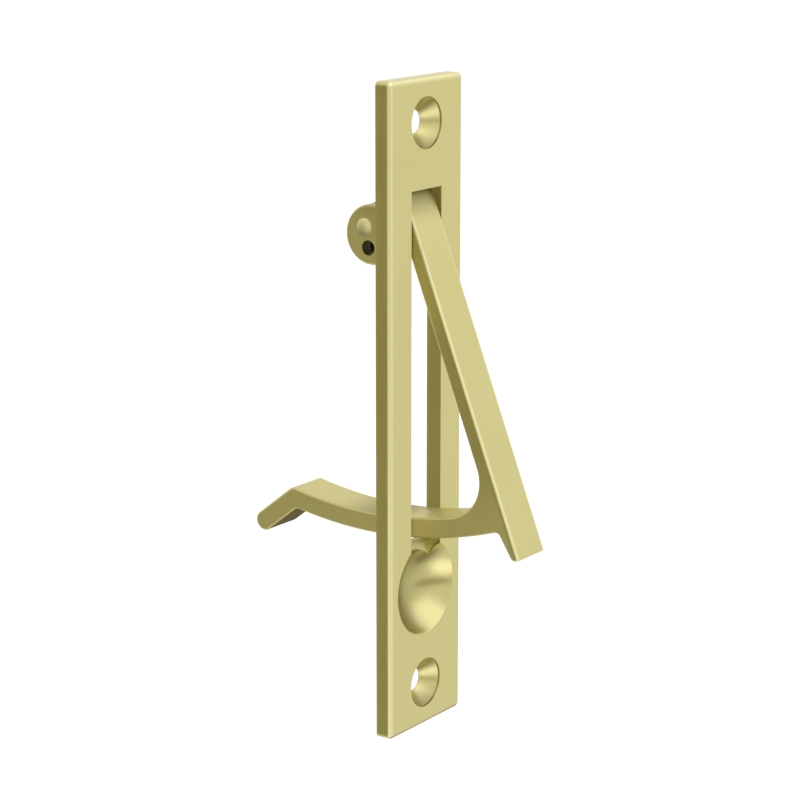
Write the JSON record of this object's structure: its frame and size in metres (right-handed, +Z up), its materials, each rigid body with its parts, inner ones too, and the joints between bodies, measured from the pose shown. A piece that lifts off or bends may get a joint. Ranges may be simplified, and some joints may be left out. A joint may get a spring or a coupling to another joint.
{
  "type": "pocket door edge pull",
  "caption": "Flat brass faceplate with screw holes, lever slot and finger scoop; a pivoting pull lever with curved tail and stop hook swings out of it to draw a pocket door.",
  "frame": {"origin": "centre of the screw pattern on the faceplate's back face, the middle of the plate", "axes": "+X across the plate to the right seen from the front, +Y into the door, +Z up the plate's length"},
  "size_m": [0.019, 0.05, 0.1016],
  "materials": {
    "faceplate": "satin polished cast brass",
    "pull_lever": "satin polished cast brass",
    "pivot_pin": "polished brass"
  },
  "bodies": {
    "plate_body": {"faceplate": "faceplate", "pivot_pin": "pivot_pin"},
    "lever_body": {"pull_lever": "pull_lever"}
  },
  "joints": [
    {"name": "lever_swing", "type": "hinge", "parent": "plate_body", "child": "lever_body", "pos_m": [0, 0.0047, 0.0284], "axis": [-1, 0, 0], "range_deg": [-21.3, 22.4]}
  ]
}
